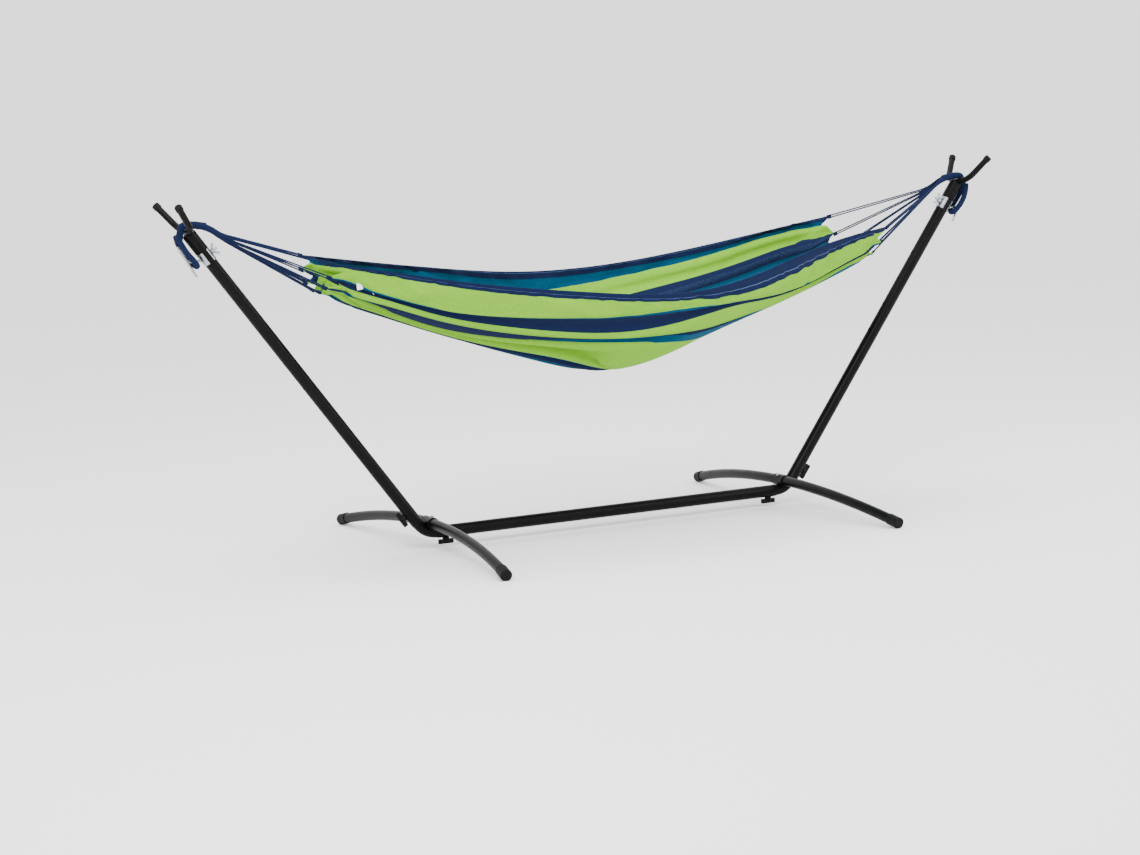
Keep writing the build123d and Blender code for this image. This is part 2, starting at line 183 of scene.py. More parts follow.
# ---------------------------------------------------------------- material helpers
class Graph:
    """Short calls for one material's nodes."""

    def __init__(self, name):
        self.material = bpy.data.materials.new(name)
        self.material.use_nodes = True
        self.nodes = self.material.node_tree.nodes
        self.links = self.material.node_tree.links
        self.shader = self.nodes["Principled BSDF"]

    def node(self, kind, settings=None, **inputs):
        """A node of one kind, with its settings and its inputs, in whose names _ stands for a space."""
        made = self.nodes.new(kind)
        for key, value in (settings or {}).items():
            setattr(made, key, value)
        for key, value in inputs.items():
            self.put(made.inputs[key.replace("_", " ")], value)
        return made

    def put(self, socket, value):
        """Links another socket to this one, or gives it a value of its own."""
        if isinstance(value, bpy.types.NodeSocket):
            self.links.new(value, socket)
        else:
            socket.default_value = value

    def math(self, operation, first, second=0.0, third=0.0):
        """The result of one sum with up to three values."""
        made = self.nodes.new("ShaderNodeMath")
        made.operation = operation
        for socket, value in zip(made.inputs, (first, second, third)):
            self.put(socket, value)
        return made.outputs[0]

    def mix(self, share, first, second, blend="MIX"):
        """The first colour with a share of the second mixed in."""
        made = self.nodes.new("ShaderNodeMix")
        made.data_type = "RGBA"
        made.blend_type = blend
        self.put(made.inputs[0], share)
        self.put(made.inputs[6], first)
        self.put(made.inputs[7], second)
        return made.outputs[2]

    def between(self, value, low, high, to_low, to_high):
        """The value, moved from one range to another and kept inside it."""
        made = self.node("ShaderNodeMapRange", None, Value=value)
        for key, number in (("From Min", low), ("From Max", high), ("To Min", to_low), ("To Max", to_high)):
            made.inputs[key].default_value = number
        return made.outputs[0]

    def place(self, stretch=(1, 1, 1), uv_map=None):
        """Coordinates in metres, the object's own or a UV map's, each axis times its part of stretch."""
        if uv_map:
            vector = self.node("ShaderNodeUVMap", {"uv_map": uv_map}).outputs[0]
        else:
            vector = self.node("ShaderNodeTexCoord").outputs["Object"]
        return self.node("ShaderNodeMapping", None, Vector=vector, Scale=stretch).outputs[0]

    def noise(self, vector, scale, detail, roughness=0.5):
        made = self.node(
            "ShaderNodeTexNoise", None, Vector=vector, Scale=scale, Detail=detail, Roughness=roughness
        )
        return made.outputs[0]

    def bump(self, height, distance, strength):
        made = self.node("ShaderNodeBump", None, Height=height, Distance=distance, Strength=strength)
        return made.outputs[0]

    def set(self, **values):
        """Sets or links the shader's own inputs."""
        for key, value in values.items():
            self.put(self.shader.inputs[key.replace("_", " ")], value)


def powder_coat():
    """Satin black powder coat: a fine orange peel, faint dust on what faces up, small rubbed spots."""
    g = Graph("powder_coat")
    where = g.place()
    peel = g.noise(where, 900, 3)
    cloudy = g.noise(where, 14, 3)
    rubbed = g.between(g.noise(where, 75, 4, 0.7), 0.66, 0.78, 0.0, 1.0)
    up = g.node("ShaderNodeSeparateXYZ", None, Vector=g.node("ShaderNodeNewGeometry").outputs["Normal"])
    facing_up = g.between(up.outputs[2], 0.2, 1.0, 0.0, 1.0)
    dust = g.math("MULTIPLY", facing_up, g.between(cloudy, 0.35, 0.7, 0.1, 0.5))
    coat = g.mix(cloudy, (0.0016, 0.0016, 0.0018, 1), (0.0030, 0.0030, 0.0034, 1))
    coat = g.mix(g.math("MULTIPLY", rubbed, 0.35), coat, (0.010, 0.010, 0.011, 1))
    coat = g.mix(g.math("MULTIPLY", dust, 0.03), coat, (0.10, 0.095, 0.09, 1))
    roughness = g.math("ADD", g.between(cloudy, 0.3, 0.7, 0.30, 0.38), g.math("MULTIPLY", rubbed, 0.12))
    g.set(Base_Color=coat, Roughness=roughness, Normal=g.bump(peel, 0.0002, 0.55))
    g.shader.inputs["Specular IOR Level"].default_value = 0.07
    return g.material


def black_plastic():
    """Moulded black plastic with a fine leathery grain."""
    g = Graph("moulded_plastic")
    where = g.place()
    grain = g.node("ShaderNodeTexVoronoi", None, Vector=where, Scale=1400.0).outputs[0]
    cloudy = g.noise(where, 40, 3)
    colour = g.mix(cloudy, (0.0026, 0.0026, 0.0030, 1), (0.0052, 0.0052, 0.0056, 1))
    roughness = g.between(cloudy, 0.3, 0.7, 0.5, 0.64)
    g.set(Base_Color=colour, Roughness=roughness, Normal=g.bump(grain, 0.00012, 0.6))
    g.shader.inputs["Specular IOR Level"].default_value = 0.08
    return g.material


def zinc_plate():
    """Bright zinc plate, slightly clouded, with a few dull spots."""
    g = Graph("zinc")
    where = g.place()
    spangle = g.node("ShaderNodeTexVoronoi", None, Vector=where, Scale=260.0).outputs[1]
    grey = g.node("ShaderNodeRGBToBW", None, Color=spangle).outputs[0]
    cloudy = g.noise(where, 120, 3)
    dull = g.between(cloudy, 0.58, 0.72, 0.0, 1.0)
    colour = g.mix(grey, (0.24, 0.25, 0.27, 1), (0.42, 0.43, 0.45, 1))
    colour = g.mix(g.math("MULTIPLY", dull, 0.5), colour, (0.16, 0.16, 0.16, 1))
    roughness = g.math("ADD", g.between(grey, 0, 1, 0.24, 0.34), g.math("MULTIPLY", dull, 0.2))
    scratches = g.noise(g.place((60, 900, 900)), 1.0, 2)
    g.set(Base_Color=colour, Roughness=roughness, Normal=g.bump(scratches, 0.00004, 0.5))
    g.shader.inputs["Metallic"].default_value = 1.0
    return g.material


def cord_material(name, dark, light, lay, turns):
    """Twisted cotton: turns strands winding once in each lay of length, from the tube's own UV in metres.
    The colour darkens towards the dark colour once per strand, which is painted shade between the strands.
    """
    g = Graph(name)
    split = g.node("ShaderNodeSeparateXYZ", None, Vector=g.place(uv_map="along"))
    winding = g.math("ADD", g.math("DIVIDE", split.outputs[0], lay), split.outputs[1])
    # painted shade: once per strand the colour dips towards the dark colour, as if shaded between the
    # strands
    strand = g.math("SINE", g.math("MULTIPLY", winding, 2 * math.pi * turns))
    fibre = g.noise(g.place(), 1500, 3, 0.7)
    cloudy = g.noise(g.place(), 30, 3)
    share = g.math("MULTIPLY", g.between(strand, -1, 1, 0.15, 0.75), g.between(cloudy, 0.3, 0.7, 0.7, 1.3))
    colour = g.mix(share, dark, light)
    colour = g.mix(g.between(fibre, 0.6, 0.75, 0, 0.2), colour, (0.05, 0.07, 0.16, 1))
    g.set(Base_Color=colour, Roughness=0.86, Normal=g.bump(fibre, 0.00025, 0.6))
    g.shader.inputs["Specular IOR Level"].default_value = 0.06
    g.shader.inputs["Sheen Weight"].default_value = 0.02
    g.shader.inputs["Sheen Roughness"].default_value = 0.5
    return g.material


NAVY = (0.0065, 0.0125, 0.046, 1)
# a darker copy of the navy, painted on the cords as the shade between their strands
STRAND_SHADE_NAVY = (0.004, 0.008, 0.030, 1)
TEAL = (0.0010, 0.060, 0.120, 1)
LIME = (0.190, 0.445, 0.024, 1)
FLAT_WIDTH = 1.45  # the cut, before it was hung
FLAT_LENGTH = 2.0
# The stripes across the cloth from its near rim: width in metres, colour
STRIPES = [
    (0.024, NAVY),
    (0.084, LIME),
    (0.014, TEAL),
    (0.082, NAVY),
    (0.090, LIME),
    (0.028, NAVY),
    (0.028, TEAL),
    (0.196, LIME),
    (0.054, TEAL),
    (0.062, NAVY),
    (0.070, LIME),
    (0.040, TEAL),
    (0.080, NAVY),
    (0.080, LIME),
    (0.052, TEAL),
    (0.050, NAVY),
    (0.068, LIME),
    (0.048, NAVY),
    (0.058, TEAL),
    (0.074, NAVY),
    (0.088, LIME),
    (0.036, TEAL),
    (0.044, NAVY),
]
SPECKLED = (1.150, 1.245)  # where the teal and navy yarns are mixed, measured from the near rim
WARP_PITCH = 0.0016
WEFT_PITCH = 0.0018
STITCH_ROW = 0.016  # from a rim to the line of stitches beside its hem
STITCH_HALF_WIDTH = 0.0007
STITCH_PITCH = 0.0044
STITCH_REACH = 0.0015  # half the length of a stitch
# What makes the yarns uneven, one layer after another: how fine the pattern is along and across the
# cloth, its detail and roughness, where it starts and ends, its most, and what it multiplies the colour by
YARN_LAYERS = [
    ((70, 1100), 3, 0.6, 0.35, 0.70, 0.30, (0.35, 0.42, 0.50, 1)),  # slubs of the warp
    ((1100, 90), 3, 0.6, 0.45, 0.75, 0.35, (1.6, 1.5, 1.45, 1)),  # slubs of the weft
    ((330, 620), 2, 0.5, 0.60, 0.68, 0.75, (0.25, 0.38, 0.55, 1)),  # dark flecks
    ((110, 260), 3, 0.65, 0.54, 0.68, 0.60, (0.50, 0.62, 0.55, 1)),  # mottling
]


def striped_cotton():
    """The striped weave: u runs along the hammock and v across it, in metres of the flat cloth."""
    g = Graph("striped_weave")
    split = g.node("ShaderNodeSeparateXYZ", None, Vector=g.place(uv_map="flat"))
    along, across = split.outputs[0], split.outputs[1]
    ragged = g.noise(g.place((40, 900, 1), uv_map="flat"), 1.0, 2)
    edge = g.math("ADD", across, g.between(ragged, 0, 1, -0.0006, 0.0006))
    ramp_node = g.node("ShaderNodeValToRGB", None, Fac=g.math("DIVIDE", edge, FLAT_WIDTH))
    ramp = ramp_node.color_ramp
    ramp.interpolation = "CONSTANT"
    start = 0.0
    for index, (width, colour) in enumerate(STRIPES):
        stop = ramp.elements[0] if index == 0 else ramp.elements.new(start / FLAT_WIDTH)
        stop.position = start / FLAT_WIDTH
        stop.color = colour
        start += width
    ramp.elements.remove(ramp.elements[len(STRIPES)])

    colour = ramp_node.outputs[0]
    layers = []
    for stretch, detail, rough, low, high, most, tint in YARN_LAYERS:
        layer = g.noise(g.place((*stretch, 1), uv_map="flat"), 1.0, detail, rough)
        colour = g.mix(g.between(layer, low, high, 0.0, most), colour, tint, "MULTIPLY")
        layers.append(layer)
    slub = layers[0]
    past_start = g.math("GREATER_THAN", across, SPECKLED[0])
    inside = g.math("MULTIPLY", past_start, g.math("LESS_THAN", across, SPECKLED[1]))
    mixed = g.between(g.noise(g.place((330, 330, 1), uv_map="flat"), 1.0, 1), 0.52, 0.6, 0.0, 0.45)
    colour = g.mix(g.math("MULTIPLY", inside, mixed), colour, (0.05, 0.09, 0.17, 1))
    faded = g.noise(g.place((5, 12, 1), uv_map="flat"), 1.0, 3)
    colour = g.mix(g.between(faded, 0.4, 0.8, 0.0, 0.3), colour, (1.3, 1.25, 1.2, 1), "MULTIPLY")

    # plain weave and the stitched line beside each hem
    warp = g.math("SINE", g.math("MULTIPLY", across, 2 * math.pi / WARP_PITCH))
    weft = g.math("SINE", g.math("MULTIPLY", along, 2 * math.pi / WEFT_PITCH))
    weave = g.math("ADD", g.math("MULTIPLY", warp, weft), g.math("MULTIPLY", slub, 1.2))
    from_rim = g.math("MINIMUM", across, g.math("SUBTRACT", FLAT_WIDTH, across))
    row = g.math("COMPARE", from_rim, STITCH_ROW, STITCH_HALF_WIDTH)
    dash = g.math("LESS_THAN", g.math("PINGPONG", along, STITCH_PITCH / 2), STITCH_REACH)
    stitch = g.math("MULTIPLY", row, dash)
    colour = g.mix(g.math("MULTIPLY", stitch, 0.8), colour, (0.10, 0.16, 0.34, 1))
    height = g.math("ADD", weave, g.math("MULTIPLY", stitch, 3.0))
    g.set(Base_Color=colour, Roughness=0.9, Normal=g.bump(height, 0.00035, 0.8))
    g.shader.inputs["Specular IOR Level"].default_value = 0.04
    g.shader.inputs["Sheen Weight"].default_value = 0.01
    g.shader.inputs["Sheen Roughness"].default_value = 0.55
    return g.material


def label_material():
    """The blank white wash label and its thread."""
    g = Graph("label_satin")
    threads = g.noise(g.place((900, 90, 900)), 1.0, 2)
    colour = g.mix(threads, (0.78, 0.78, 0.76, 1), (0.9, 0.9, 0.88, 1))
    g.set(Base_Color=colour, Roughness=0.55, Normal=g.bump(threads, 0.0001, 0.5))
    return g.material


def floor_material():
    """Matt pale grey, very slightly uneven."""
    g = Graph("studio_floor")
    colour = g.mix(g.noise(g.place(), 1.5, 2), (0.86, 0.86, 0.86, 1), (0.88, 0.88, 0.88, 1))
    g.set(Base_Color=colour, Roughness=0.75)
    return g.material


# ---------------------------------------------------------------- mesh helpers
ROUTE_RESOLUTION = 24  # points of a smooth line between two points of its route
STRAND_DEPTH = 0.10  # depth of the grooves between a cord's strands, as a share of its radius
WRAP_STEP = 0.0004  # length of the mesh faces of a wrapped rope


def mesh_object(name, points, faces):
    """A smooth-shaded mesh object in the scene."""
    mesh = bpy.data.meshes.new(name)
    mesh.from_pydata([tuple(point) for point in points], [], faces)
    mesh.validate()
    mesh.polygons.foreach_set("use_smooth", [True] * len(mesh.polygons))
    mesh.update()
    made = bpy.data.objects.new(name, mesh)
    bpy.context.scene.collection.objects.link(made)
    return made


def spline_line(points):
    """The line of a NURBS curve through its route's points, as an array of points close together."""
    curve = bpy.data.curves.new("route", "CURVE")
    curve.dimensions = "3D"
    spline = curve.splines.new("NURBS")
    spline.points.add(len(points) - 1)
    for control, point in zip(spline.points, points):
        control.co = (*point, 1)
    spline.order_u = 3
    spline.use_endpoint_u = True
    spline.resolution_u = ROUTE_RESOLUTION
    holder = bpy.data.objects.new("route", curve)
    mesh = bpy.data.meshes.new_from_object(holder)
    line = np.array([vertex.co for vertex in mesh.vertices], float)
    bpy.data.objects.remove(holder)
    bpy.data.curves.remove(curve)
    bpy.data.meshes.remove(mesh)
    return line


def even(line, step):
    """The same line with its points a step apart, and the distance along it to each."""
    runs = np.concatenate([[0], np.cumsum(np.linalg.norm(np.diff(line, axis=0), axis=1))])
    count = max(3, int(round(runs[-1] / step)) + 1)
    wanted = np.linspace(0, runs[-1], count)
    return np.column_stack([np.interp(wanted, runs, line[:, axis]) for axis in range(3)]), wanted


def carried_frames(line):
    """Two unit vectors across the line at each of its points, which don't twist along it."""
    tangents = np.gradient(line, axis=0)
    tangents /= np.linalg.norm(tangents, axis=1)[:, None]
    across = np.cross(tangents[0], (0.0, 0.0, 1.0))
    if np.linalg.norm(across) < 0.1:
        across = np.cross(tangents[0], (0.0, 1.0, 0.0))
    first = []
    for tangent in tangents:
        across = across - tangent * (across @ tangent)
        across /= np.linalg.norm(across)
        first.append(across)
    first = np.array(first)
    return first, np.cross(tangents, first)


def tube(name, line, step, sides, radius):
    """A closed tube along the line, with its surface at radius(distance along it, angle round it).

    Its UV map "along" holds the distance in metres and the share of a turn.
    """
    points, runs = even(line, step)
    first, second = carried_frames(points)
    angles = np.arange(sides) / sides * 2 * math.pi
    reach = radius(runs[:, None], angles[None, :])
    ring = (
        points[:, None, :]
        + first[:, None, :] * (reach * np.cos(angles))[:, :, None]
        + second[:, None, :] * (reach * np.sin(angles))[:, :, None]
    )
    faces = []
    for row in range(len(points) - 1):
        for column in range(sides):
            after = (column + 1) % sides
            corner = row * sides
            faces.append((corner + column, corner + after, corner + sides + after, corner + sides + column))
    last = (len(points) - 1) * sides
    faces.append(tuple(range(sides))[::-1])
    faces.append(tuple(range(last, last + sides)))
    made = mesh_object(name, ring.reshape(-1, 3), faces)
    layer = made.data.uv_layers.new(name="along")
    for polygon in made.data.polygons:
        for loop, vertex in zip(polygon.loop_indices, polygon.vertices):
            layer.data[loop].uv = (runs[vertex // sides], (vertex % sides) / sides)
        columns = [vertex % sides for vertex in polygon.vertices]
        if len(columns) == 4 and 0 in columns and sides - 1 in columns:
            for loop, vertex in zip(polygon.loop_indices, polygon.vertices):
                if vertex % sides == 0:
                    layer.data[loop].uv[1] = 1.0
    return made


def twisted(thickness, strands, lay):
    """A tube surface of strands laid round each other."""

    def surface(runs, angles):
        wind = strands / 2 * (angles - 2 * math.pi * runs / lay)
        return thickness / 2 * (1 - STRAND_DEPTH + STRAND_DEPTH * np.abs(np.cos(wind)))

    return surface


def whipped(thickness, twine):
    """A tube surface of twine wound round and round a core, one turn beside the next."""

    def surface(runs, angles):
        wind = math.pi * runs / twine - angles / 2
        return thickness / 2 - twine * 0.35 * (1 - np.abs(np.sin(wind)))

    return surface


# ---------------------------------------------------------------- cords
CORD_STEP = 0.0022  # length of a cord's mesh faces
CORD_SIDES = 10
LAY_STEP = 0.0004  # by which the lay of one cord differs from the next, so that they don't look alike
KNOT_REACH = 0.013  # how far the wrapped end of a cord reaches
KNOT_START = 0.002  # how far it stands past the loop, into the cloth
KNOT_DIAMETER = 0.0074
KNOT_TWINE = 0.0016
KNOT_STEP = 0.0003
KNOT_SIDES = 16
OVERLAP = 0.001  # how far a cord and its strand in the bundle run into each other


def arc_points(station, shares):
    """Points of a cloth station's arc, near rim to far rim, at shares of its length, and that length."""
    _, half_width, near_z, far_z, bottom_z, _ = station
    # the circle through both rims and the bottom
    a, b, c = Vector((-half_width, near_z)), Vector((0, bottom_z)), Vector((half_width, far_z))
    d = 2 * (a.x * (b.y - c.y) + b.x * (c.y - a.y) + c.x * (a.y - b.y))
    sa, sb, sc = a.length_squared, b.length_squared, c.length_squared
    centre_y = (sa * (b.y - c.y) + sb * (c.y - a.y) + sc * (a.y - b.y)) / d
    centre_z = (sa * (c.x - b.x) + sb * (a.x - c.x) + sc * (b.x - a.x)) / d
    radius = math.hypot(a.x - centre_y, a.y - centre_z)
    start = math.atan2(a.y - centre_z, a.x - centre_y)
    end = math.atan2(c.y - centre_z, c.x - centre_y)
    start -= 2 * math.pi if start > 0 else 0
    end += 2 * math.pi if end < start else 0
    turn = start + (end - start) * np.asarray(shares, float)
    across = centre_y + radius * np.cos(turn)
    height = centre_z + radius * np.sin(turn)
    return across, height, radius * (end - start)


def cord_routes(side):
    """The straight routes of one end's cords, from the bundle to the loops of the cloth."""
    station = CLOTH_STATIONS[0] if side < 0 else CLOTH_STATIONS[-1]
    end_x, *_, skew = station
    last = 2 * TIP_COUNT - 1
    reach = arc_points(station, [0])[2]
    tip_step = (reach - PAIR_GAP) / (TIP_COUNT - 1)
    shrink = CORD_PITCH * last / reach
    middle = arc_points(station, [0, 0.5, 1])[1]
    middle_z = (middle[1] + max(middle[0], middle[2])) / 2
    routes = []
    for index in range(last + 1):
        tip, second = divmod(index, 2)
        y, z, _ = arc_points(station, [(tip * tip_step + second * PAIR_GAP) / reach])
        end = Vector((end_x + skew * y[0], y[0], z[0]))
        even_y, even_z, _ = arc_points(station, [index / last])
        start = Vector(
            (
                side * (SWING_X - BUNDLE_LENGTH + OVERLAP),
                even_y[0] * shrink,
                SWING_Z - BUNDLE_DROP + (even_z[0] - middle_z) * shrink,
            )
        )
        routes.append([start, (start + end) / 2, end])
    return routes


def make_cords():
    """The straight twisted cords between the bundles and the cloth."""
    for word, side in SIDES.items():
        for index, route in enumerate(cord_routes(side)):
            line = spline_line(route)
            name = f"{word}_cord_{index + 1:02d}"
            surface = twisted(CORD_DIAMETER, CORD_STRANDS, CORD_LAY + LAY_STEP * (index % 4))
            cord = tube(name, line, CORD_STEP, CORD_SIDES, surface)
            cord.data.materials.append(MATERIALS["cord"])
            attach(cord, "hammock")
            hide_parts(f"{word}_cords")


def joined(name, parts):
    """One mesh object of several, with their UV maps."""
    with bpy.context.temp_override(active_object=parts[0], selected_editable_objects=parts):
        bpy.ops.object.join()
    parts[0].name = name
    return parts[0]


def make_knots():
    """The wrapped ends of the cords at the loops of the cloth."""
    for word, side in SIDES.items():
        parts = []
        for route in cord_routes(side):
            start, _, end = route
            away = (start - end).normalized()
            line = np.array([end - away * KNOT_START, end + away * KNOT_REACH / 2, end + away * KNOT_REACH])
            parts.append(tube("knot", line, KNOT_STEP, KNOT_SIDES, whipped(KNOT_DIAMETER, KNOT_TWINE)))
        knots = joined(f"{word}_cord_ends", parts)
        knots.data.materials.append(MATERIALS["cord"])
        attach(knots, "hammock")
        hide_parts(f"{word}_cords")


# ---------------------------------------------------------------- bundles, rope necks and eyes
NECK_DIAMETER = 0.022
NECK_SIDES = 28
NECK_TWINE = 0.0026
EYE_DIAMETER = 0.018
EYE_SIDES = 24
EYE_TWINE = 0.0024
RING_OF_STRANDS = 0.0085  # radius of the ring in which the cords enter the bound neck
STRAND_START = 0.004  # from the swing line to that ring
STRAND_STRAIGHT = 0.036  # how far the cords run side by side under the binding, and how much they fall
STRAND_FALL = 0.008
STRAND_JOINS = 0.030  # length in which a strand bends into the direction of its cord
BINDING_LENGTH = 0.034
BINDING_FALL = 0.0064  # how much lower the binding's inner end is
NECK_CORNER = 0.0118  # from the corner over the fork's bar to the route's two points round it


def make_bundle(word, side):
    """The cords where they run together into the rope, and the binding round them."""
    parts = []
    routes = cord_routes(side)
    for index, route in enumerate(routes):
        turn = math.pi / 2 + 2 * math.pi * (index + 0.5) / len(routes)
        neck = Vector((side * (SWING_X - STRAND_START), 0, SWING_Z))
        neck += RING_OF_STRANDS * Vector((0, math.cos(turn), math.sin(turn)))
        leaving = (route[2] - route[0]).normalized()
        straight = neck + Vector((-side * STRAND_STRAIGHT, 0, -STRAND_FALL))
        before, after = route[0] - leaving * STRAND_JOINS, route[0] + leaving * OVERLAP
        strand = spline_line([neck, straight, before, after])
        surface = twisted(CORD_DIAMETER, CORD_STRANDS, CORD_LAY)
        parts.append(tube("strand", strand, CORD_STEP, CORD_SIDES, surface))
    bundle = joined(f"{word}_bundle_strands", parts)
    bundle.data.materials.append(MATERIALS["cord"])
    reaches = np.linspace(0, 1, 5)
    line = np.column_stack(
        [side * (SWING_X - BINDING_LENGTH * reaches), np.zeros(5), SWING_Z - BINDING_FALL * reaches]
    )
    surface = whipped(NECK_DIAMETER + 0.001, NECK_TWINE)
    binding = tube(f"{word}_bundle_binding", line, WRAP_STEP, NECK_SIDES, surface)
    binding.data.materials.append(MATERIALS["cord"])
    for piece in (bundle, binding):
        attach(piece, "hammock")
        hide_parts(f"{word}_cord_bundle")


def make_rope(word, side):
    """The bound neck over the fork's bar, and the eye that hangs from it round the hook."""
    swing = Vector((side * SWING_X, 0, SWING_Z))
    # the neck's route has a corner over the fork's bar, which two points beside it round off
    over_bar = at(side, 0.0209, 0.0012, 0)
    low = at(side, -0.022, 0.044, 0)
    before = over_bar + (swing - over_bar).normalized() * NECK_CORNER
    after = over_bar + (low - over_bar).normalized() * NECK_CORNER
    neck_line = spline_line([swing, before, after, low])
    surface = whipped(NECK_DIAMETER, NECK_TWINE)
    neck = tube(f"{word}_rope_neck_wrap", neck_line, WRAP_STEP, NECK_SIDES, surface)
    neck.data.materials.append(MATERIALS["cord"])
    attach(neck, "stand")
    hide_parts(f"{word}_rope_neck")

    # from the neck down the near side, round the hook's bar and up the far side
    eye_route = [
        at(side, 0.002, 0.032, -0.006),
        at(side, -0.032, 0.045, -0.019),
        at(side, -0.104, 0.0405, -0.020),
        at(side, -0.104, 0.0405, 0.020),
        at(side, -0.032, 0.045, 0.019),
        at(side, 0.002, 0.032, 0.006),
    ]
    eye_line = spline_line(eye_route)
    eye = tube(f"{word}_rope_eye_wrap", eye_line, WRAP_STEP, EYE_SIDES, whipped(EYE_DIAMETER, EYE_TWINE))
    eye.data.materials.append(MATERIALS["cord"])
    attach(eye, "stand")
    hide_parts(f"{word}_rope_eye")


# ---------------------------------------------------------------- cloth
CLOTH_ROWS = 120  # along the hammock
CLOTH_COLUMNS = 240  # across it
SCALLOP = 0.030  # how far the end edges draw back between the loops
LIGHT_HOLD = 0.02  # how firmly the simulation holds what lies inside the cloth's edges
SETTLING_FRAMES = 15
MOST_SETTLED = 0.008  # how far the simulation may move a point of the cloth
MOST_FOLD_DEPTH = 0.026
FOLD_SLIMNESS = 4.3  # width of a tightly gathered fold over its depth
WAVE_COUNT = 7  # sine waves that make up the slow unevenness
WAVE_PACE_ALONG = 5.0  # the fastest of them, in radians for each metre of flat cloth
WAVE_PACE_ACROSS = 9.0
# Where the folds change across the flat cloth, from the near rim, and the width in which they do
FACING_TO, FACING_BLEND = 0.31, 0.05  # the near side's outer face, with shallow folds
UNDER_FROM, UNDER_BLEND = 0.30, 0.06  # the underside, where folds only go inwards
SHOWN_FROM, SHOWN_BLEND = 1.06, 0.08  # the far side's inner face, which hangs smoothly
# Shares of the length, from each end
CALM_SHARE = 0.12  # where the folds become uneven
BOUND_SHARE = 0.06  # where the loops still hold the folds
DRAWN_SHARE = 0.07  # where the end edge is drawn back
FOLD_BLUR = 0.012  # by how much the counted folds are evened out
SHARE_BLUR = 0.006
HEM_WIDTH = 0.024
CLOTH_THICKNESS = 0.0014  # twice that in the hems
# How the flat cloth is shared out along the arcs of the hung one. Each column is a place across the
# flat cloth, with the folds and the loops counted from the near rim to it; each row is a place along
# the hammock, with the share of the arc that lies between the near rim and each of those places.
SHARE_FLAT = [0, 0.024, 0.108, 0.122, 0.204, 0.294, 0.322, 0.350, 0.520, 1.150, 1.282, 1.370, 1.406, 1.450]
SHARE_FOLDS = [0, 0.1, 0.42, 0.48, 1.0, 1.45, 1.75, 2.1, 3.0, 9.0, 10.0, 11.0, 11.4, 12.0]
SHARE_LOOPS = [0, 0.2, 0.95, 1.05, 1.4, 1.9, 2.02, 2.15, 3.0, 5.2, 5.9, 6.4, 6.7, 7.0]
SHARES = {
    -0.95: [0, 0.030, 0.135, 0.150, 0.200, 0.271, 0.289, 0.307, 0.429, 0.745, 0.842, 0.915, 0.955, 1],
    -0.82: [0, 0.022, 0.140, 0.175, 0.195, 0.240, 0.300, 0.320, 0.380, 0.790, 0.870, 0.950, 0.975, 1],
    -0.66: [0, 0.020, 0.165, 0.180, 0.212, 0.248, 0.350, 0.365, 0.415, 0.780, 0.890, 0.960, 0.980, 1],
    -0.48: [0, 0.020, 0.140, 0.148, 0.195, 0.238, 0.305, 0.320, 0.400, 0.750, 0.880, 0.965, 0.985, 1],
    -0.20: [0, 0.020, 0.082, 0.090, 0.150, 0.178, 0.202, 0.220, 0.330, 0.730, 0.850, 0.948, 0.975, 1],
    0.08: [0, 0.025, 0.042, 0.060, 0.095, 0.155, 0.175, 0.200, 0.430, 0.730, 0.860, 0.945, 0.977, 1],
    0.31: [0, 0.060, 0.090, 0.103, 0.112, 0.230, 0.245, 0.330, 0.460, 0.740, 0.870, 0.955, 0.980, 1],
    0.62: [0, 0.075, 0.190, 0.206, 0.222, 0.246, 0.254, 0.330, 0.460, 0.755, 0.880, 0.968, 0.978, 1],
    0.83: [0, 0.030, 0.148, 0.166, 0.184, 0.198, 0.206, 0.310, 0.440, 0.765, 0.885, 0.970, 0.980, 1],
    0.95: [0, 0.025, 0.135, 0.150, 0.200, 0.271, 0.283, 0.307, 0.429, 0.750, 0.855, 0.930, 0.960, 1],
}


def smooth_through(places, values, wanted):
    """A natural cubic spline through a few values."""
    places, values = np.asarray(places, float), np.asarray(values, float)
    count = len(places)
    gaps = np.diff(places)
    system = np.eye(count)
    slopes = np.zeros(count)
    for k in range(1, count - 1):
        system[k, k - 1 : k + 2] = (gaps[k - 1], 2 * (gaps[k - 1] + gaps[k]), gaps[k])
        slopes[k] = 6 * ((values[k + 1] - values[k]) / gaps[k] - (values[k] - values[k - 1]) / gaps[k - 1])
    bend = np.linalg.solve(system, slopes)
    k = np.clip(np.searchsorted(places, wanted) - 1, 0, count - 2)
    gap = gaps[k]
    left, right = (places[k + 1] - wanted) / gap, (wanted - places[k]) / gap
    return (
        left * values[k]
        + right * values[k + 1]
        + ((left**3 - left) * bend[k] + (right**3 - right) * bend[k + 1]) * gap**2 / 6
    )


def eased(share):
    """A share that is kept from 0 to 1 and starts and stops smoothly."""
    share = np.clip(share, 0, 1)
    return share * share * (3 - 2 * share)


def waves(u, v, seed):
    """Slow unevenness, mostly from -1 to 1 and the same on each run."""
    draw = np.random.default_rng(seed)
    total = np.zeros(np.broadcast(u, v).shape)
    for _ in range(WAVE_COUNT):
        along = draw.uniform(-WAVE_PACE_ALONG, WAVE_PACE_ALONG)
        across = draw.uniform(-WAVE_PACE_ACROSS, WAVE_PACE_ACROSS)
        total += np.sin(along * u + across * v + draw.uniform(0, 6.3))
    return total / WAVE_COUNT * 1.6


def softened(values, step, reach):
    """The values of a row, blurred over a reach, with the two ends kept."""
    side = int(3 * reach / step)
    blur = np.exp(-0.5 * (np.arange(-side, side + 1) * step / reach) ** 2)
    blur /= blur.sum()
    padded = np.concatenate(
        [2 * values[0] - values[side:0:-1], values, 2 * values[-1] - values[-2 : -side - 2 : -1]]
    )
    return np.convolve(padded, blur, mode="valid")


